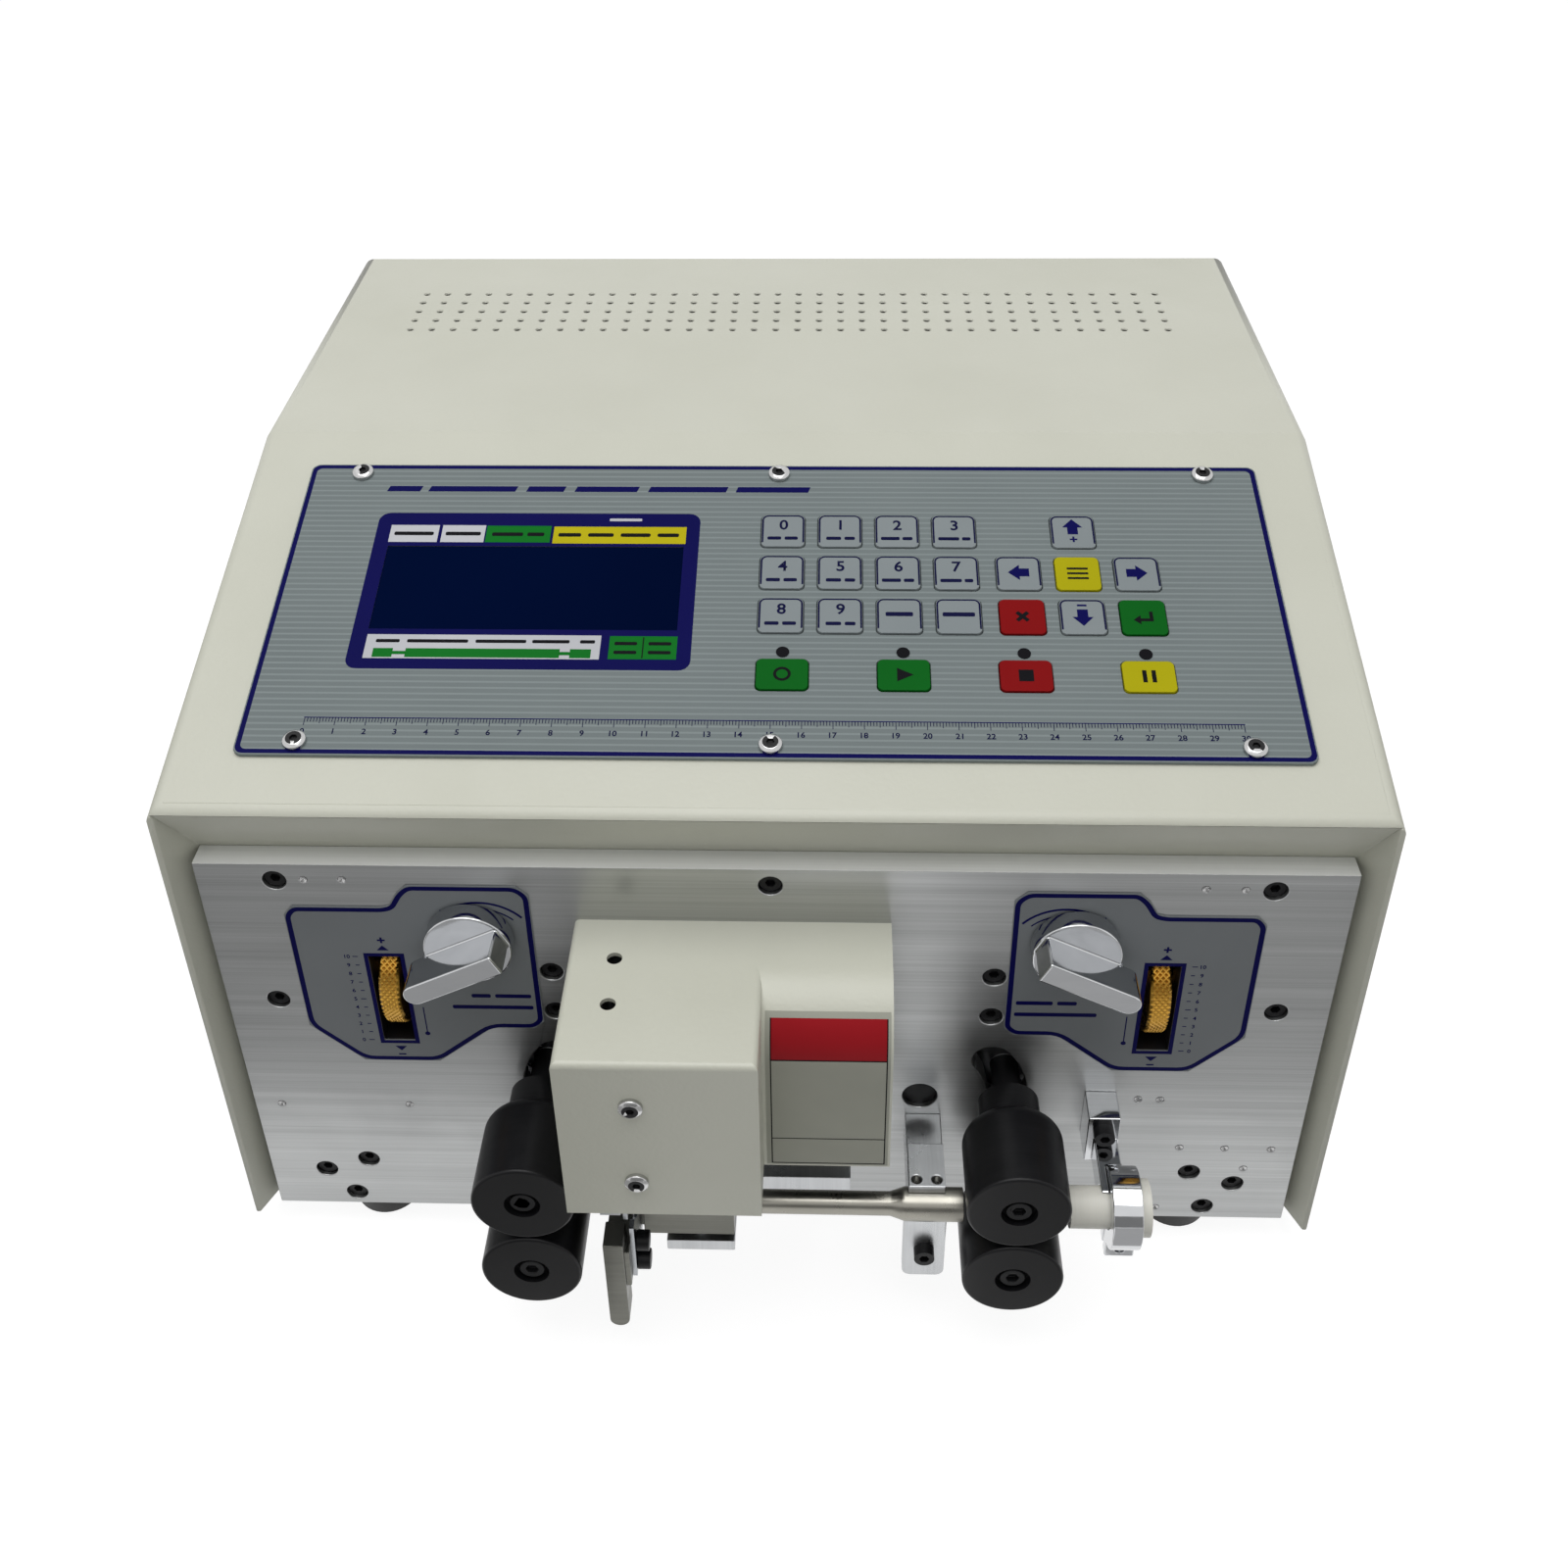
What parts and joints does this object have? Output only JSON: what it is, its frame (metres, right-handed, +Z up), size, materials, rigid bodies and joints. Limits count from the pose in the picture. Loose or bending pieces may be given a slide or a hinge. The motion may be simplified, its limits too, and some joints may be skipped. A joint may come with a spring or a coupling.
{
  "type": "wire cutting stripping machine",
  "caption": "Bench machine that feeds wire between rollers, cuts it to length and strips its ends; sloping key panel with display, lift levers, brass gap wheels",
  "frame": {"origin": "centre of the bounding box's footprint, on the plane the feet stand on", "axes": "X to the right seen from the front, Y to the rear, Z up"},
  "size_m": [0.388, 0.3958, 0.253],
  "materials": {
    "cream_paint": "fine orange-peel powder coat",
    "zinc_steel": "zinc-plated sheet",
    "brushed_plate": "brushed along the width",
    "bare_aluminium": "fine milled",
    "label_film": "printed film",
    "panel_film": "printed film with fine lines",
    "display_glass": "dark glossy window",
    "circuit_board": "solder mask",
    "bright_screw": "nickel plated",
    "black_screw": "black oxide",
    "foot_rubber": "matt rubber",
    "motor_paint": "satin black",
    "black_plastic": "moulded, fine grain",
    "bright_steel": "polished plating",
    "white_nylon": "turned nylon",
    "ground_steel": "ground",
    "blade_steel": "ground and hardened",
    "roller_rubber": "hard turned rubber",
    "wheel_brass": "knurled rim",
    "key_silver": "printed key",
    "key_green": "printed key",
    "key_yellow": "printed key",
    "key_red": "printed key"
  },
  "bodies": {
    "machine": {"chassis": "zinc_steel", "housing": "cream_paint", "front_plate": "brushed_plate", "gap_labels": "label_film", "control_panel": "panel_film", "display": "display_glass", "control_board": "circuit_board", "button_screws": "bright_screw", "socket_screws": "black_screw", "rubber_feet": "foot_rubber", "blade_cover": "cream_paint", "blade_frame": "bare_aluminium", "stepper_motors": "motor_paint", "power_supply": "zinc_steel", "power_inlet": "black_plastic", "guide_tube": "bright_steel", "guide_clamp": "bare_aluminium", "inlet_bracket": "bright_steel", "inlet_nozzle": "white_nylon"},
    "switch": {"power_switch": "black_plastic"},
    "lead_screw": {"blade_screw": "ground_steel"},
    "upper_head": {"upper_blade_holder": "ground_steel", "upper_blade": "blade_steel"},
    "lower_head": {"lower_blade_holder": "ground_steel", "lower_blade": "blade_steel"},
    "left_feed": {"left_lower_roller": "roller_rubber", "left_drive_shaft": "ground_steel"},
    "left_arm": {"left_swing_arm": "ground_steel"},
    "left_idler": {"left_upper_roller": "roller_rubber"},
    "left_lever": {"left_lift_lever": "bright_steel"},
    "left_wheel": {"left_gap_wheel": "wheel_brass"},
    "right_feed": {"right_lower_roller": "roller_rubber", "right_drive_shaft": "ground_steel"},
    "right_arm": {"right_swing_arm": "ground_steel"},
    "right_idler": {"right_upper_roller": "roller_rubber"},
    "right_lever": {"right_lift_lever": "bright_steel"},
    "right_wheel": {"right_gap_wheel": "wheel_brass"},
    "key_0_cap": {"key_0": "key_silver"},
    "key_1_cap": {"key_1": "key_silver"},
    "key_2_cap": {"key_2": "key_silver"},
    "key_3_cap": {"key_3": "key_silver"},
    "key_4_cap": {"key_4": "key_silver"},
    "key_5_cap": {"key_5": "key_silver"},
    "key_6_cap": {"key_6": "key_silver"},
    "key_7_cap": {"key_7": "key_silver"},
    "key_8_cap": {"key_8": "key_silver"},
    "key_9_cap": {"key_9": "key_silver"},
    "key_clear_cap": {"key_clear": "key_silver"},
    "key_program_cap": {"key_program": "key_silver"},
    "key_up_cap": {"key_up": "key_silver"},
    "key_left_cap": {"key_left": "key_silver"},
    "key_system_cap": {"key_system": "key_yellow"},
    "key_right_cap": {"key_right": "key_silver"},
    "key_cancel_cap": {"key_cancel": "key_red"},
    "key_down_cap": {"key_down": "key_silver"},
    "key_enter_cap": {"key_enter": "key_green"},
    "key_sample_cap": {"key_sample": "key_green"},
    "key_start_cap": {"key_start": "key_green"},
    "key_stop_cap": {"key_stop": "key_red"},
    "key_pause_cap": {"key_pause": "key_yellow"}
  },
  "joints": [
    {"name": "switch_rock", "type": "hinge", "parent": "machine", "child": "switch", "pos_m": [0.15, 0.19143, 0.058], "axis": [1, 0, 0], "range_deg": [-18, 0]},
    {"name": "lead_screw_turn", "type": "hinge", "parent": "machine", "child": "lead_screw", "pos_m": [-0.0257, -0.15657, 0.063], "axis": [0, 0, 1], "range_deg": [0, 360]},
    {"name": "upper_head_slide", "type": "slide", "parent": "machine", "child": "upper_head", "axis": [0, 0, -1], "range_m": [0, 0.005]},
    {"name": "lower_head_slide", "type": "slide", "parent": "machine", "child": "lower_head", "axis": [0, 0, 1], "range_m": [0, 0.005]},
    {"name": "left_feed_turn", "type": "hinge", "parent": "machine", "child": "left_feed", "pos_m": [-0.081, -0.16897, 0.0455], "axis": [0, 1, 0], "continuous": true},
    {"name": "left_lever_turn", "type": "hinge", "parent": "machine", "child": "left_lever", "pos_m": [-0.0985, -0.14497, 0.153], "axis": [0, 1, 0], "range_deg": [0, 90]},
    {"name": "left_arm_swing", "type": "hinge", "parent": "machine", "child": "left_arm", "pos_m": [-0.0509, -0.11997, 0.0772], "axis": [0, 1, 0], "range_deg": [0, 6]},
    {"name": "left_idler_turn", "type": "hinge", "parent": "left_arm", "child": "left_idler", "pos_m": [-0.081, -0.16897, 0.0805], "axis": [0, 1, 0], "continuous": true},
    {"name": "left_wheel_turn", "type": "hinge", "parent": "machine", "child": "left_wheel", "pos_m": [-0.1288, -0.11797, 0.1224], "axis": [1, 0, 0], "range_deg": [-180, 180]},
    {"name": "right_feed_turn", "type": "hinge", "parent": "machine", "child": "right_feed", "pos_m": [0.081, -0.16897, 0.0455], "axis": [0, 1, 0], "continuous": true},
    {"name": "right_lever_turn", "type": "hinge", "parent": "machine", "child": "right_lever", "pos_m": [0.0985, -0.14497, 0.153], "axis": [0, -1, 0], "range_deg": [0, 90]},
    {"name": "right_arm_swing", "type": "hinge", "parent": "machine", "child": "right_arm", "pos_m": [0.0509, -0.11997, 0.0772], "axis": [0, -1, 0], "range_deg": [0, 6]},
    {"name": "right_idler_turn", "type": "hinge", "parent": "right_arm", "child": "right_idler", "pos_m": [0.081, -0.16897, 0.0805], "axis": [0, 1, 0], "continuous": true},
    {"name": "right_wheel_turn", "type": "hinge", "parent": "machine", "child": "right_wheel", "pos_m": [0.1288, -0.11797, 0.1224], "axis": [1, 0, 0], "range_deg": [-180, 180]},
    {"name": "key_0_press", "type": "slide", "parent": "machine", "child": "key_0_cap", "axis": [0, 0.2605, -0.9655], "range_m": [0, 0.0005], "stiffness_N_per_m": 800, "springref_m": -0.0005},
    {"name": "key_1_press", "type": "slide", "parent": "machine", "child": "key_1_cap", "axis": [0, 0.2605, -0.9655], "range_m": [0, 0.0005], "stiffness_N_per_m": 800, "springref_m": -0.0005},
    {"name": "key_2_press", "type": "slide", "parent": "machine", "child": "key_2_cap", "axis": [0, 0.2605, -0.9655], "range_m": [0, 0.0005], "stiffness_N_per_m": 800, "springref_m": -0.0005},
    {"name": "key_3_press", "type": "slide", "parent": "machine", "child": "key_3_cap", "axis": [0, 0.2605, -0.9655], "range_m": [0, 0.0005], "stiffness_N_per_m": 800, "springref_m": -0.0005},
    {"name": "key_4_press", "type": "slide", "parent": "machine", "child": "key_4_cap", "axis": [0, 0.2605, -0.9655], "range_m": [0, 0.0005], "stiffness_N_per_m": 800, "springref_m": -0.0005},
    {"name": "key_5_press", "type": "slide", "parent": "machine", "child": "key_5_cap", "axis": [0, 0.2605, -0.9655], "range_m": [0, 0.0005], "stiffness_N_per_m": 800, "springref_m": -0.0005},
    {"name": "key_6_press", "type": "slide", "parent": "machine", "child": "key_6_cap", "axis": [0, 0.2605, -0.9655], "range_m": [0, 0.0005], "stiffness_N_per_m": 800, "springref_m": -0.0005},
    {"name": "key_7_press", "type": "slide", "parent": "machine", "child": "key_7_cap", "axis": [0, 0.2605, -0.9655], "range_m": [0, 0.0005], "stiffness_N_per_m": 800, "springref_m": -0.0005},
    {"name": "key_8_press", "type": "slide", "parent": "machine", "child": "key_8_cap", "axis": [0, 0.2605, -0.9655], "range_m": [0, 0.0005], "stiffness_N_per_m": 800, "springref_m": -0.0005},
    {"name": "key_9_press", "type": "slide", "parent": "machine", "child": "key_9_cap", "axis": [0, 0.2605, -0.9655], "range_m": [0, 0.0005], "stiffness_N_per_m": 800, "springref_m": -0.0005},
    {"name": "key_clear_press", "type": "slide", "parent": "machine", "child": "key_clear_cap", "axis": [0, 0.2605, -0.9655], "range_m": [0, 0.0005], "stiffness_N_per_m": 800, "springref_m": -0.0005},
    {"name": "key_program_press", "type": "slide", "parent": "machine", "child": "key_program_cap", "axis": [0, 0.2605, -0.9655], "range_m": [0, 0.0005], "stiffness_N_per_m": 800, "springref_m": -0.0005},
    {"name": "key_up_press", "type": "slide", "parent": "machine", "child": "key_up_cap", "axis": [0, 0.2605, -0.9655], "range_m": [0, 0.0005], "stiffness_N_per_m": 800, "springref_m": -0.0005},
    {"name": "key_left_press", "type": "slide", "parent": "machine", "child": "key_left_cap", "axis": [0, 0.2605, -0.9655], "range_m": [0, 0.0005], "stiffness_N_per_m": 800, "springref_m": -0.0005},
    {"name": "key_system_press", "type": "slide", "parent": "machine", "child": "key_system_cap", "axis": [0, 0.2605, -0.9655], "range_m": [0, 0.0005], "stiffness_N_per_m": 800, "springref_m": -0.0005},
    {"name": "key_right_press", "type": "slide", "parent": "machine", "child": "key_right_cap", "axis": [0, 0.2605, -0.9655], "range_m": [0, 0.0005], "stiffness_N_per_m": 800, "springref_m": -0.0005},
    {"name": "key_cancel_press", "type": "slide", "parent": "machine", "child": "key_cancel_cap", "axis": [0, 0.2605, -0.9655], "range_m": [0, 0.0005], "stiffness_N_per_m": 800, "springref_m": -0.0005},
    {"name": "key_down_press", "type": "slide", "parent": "machine", "child": "key_down_cap", "axis": [0, 0.2605, -0.9655], "range_m": [0, 0.0005], "stiffness_N_per_m": 800, "springref_m": -0.0005},
    {"name": "key_enter_press", "type": "slide", "parent": "machine", "child": "key_enter_cap", "axis": [0, 0.2605, -0.9655], "range_m": [0, 0.0005], "stiffness_N_per_m": 800, "springref_m": -0.0005},
    {"name": "key_sample_press", "type": "slide", "parent": "machine", "child": "key_sample_cap", "axis": [0, 0.2605, -0.9655], "range_m": [0, 0.0005], "stiffness_N_per_m": 800, "springref_m": -0.0005},
    {"name": "key_start_press", "type": "slide", "parent": "machine", "child": "key_start_cap", "axis": [0, 0.2605, -0.9655], "range_m": [0, 0.0005], "stiffness_N_per_m": 800, "springref_m": -0.0005},
    {"name": "key_stop_press", "type": "slide", "parent": "machine", "child": "key_stop_cap", "axis": [0, 0.2605, -0.9655], "range_m": [0, 0.0005], "stiffness_N_per_m": 800, "springref_m": -0.0005},
    {"name": "key_pause_press", "type": "slide", "parent": "machine", "child": "key_pause_cap", "axis": [0, 0.2605, -0.9655], "range_m": [0, 0.0005], "stiffness_N_per_m": 800, "springref_m": -0.0005}
  ],
  "couplings": [
    {"joint": "lead_screw_turn", "follows": "upper_head_slide", "rad_per_m": 1256.6},
    {"joint": "lower_head_slide", "follows": "upper_head_slide", "ratio": 1},
    {"joint": "left_arm_swing", "follows": "left_lever_turn", "ratio": 0.06666},
    {"joint": "left_idler_turn", "follows": "left_feed_turn", "ratio": -1},
    {"joint": "right_arm_swing", "follows": "right_lever_turn", "ratio": 0.06666},
    {"joint": "right_idler_turn", "follows": "right_feed_turn", "ratio": -1}
  ]
}
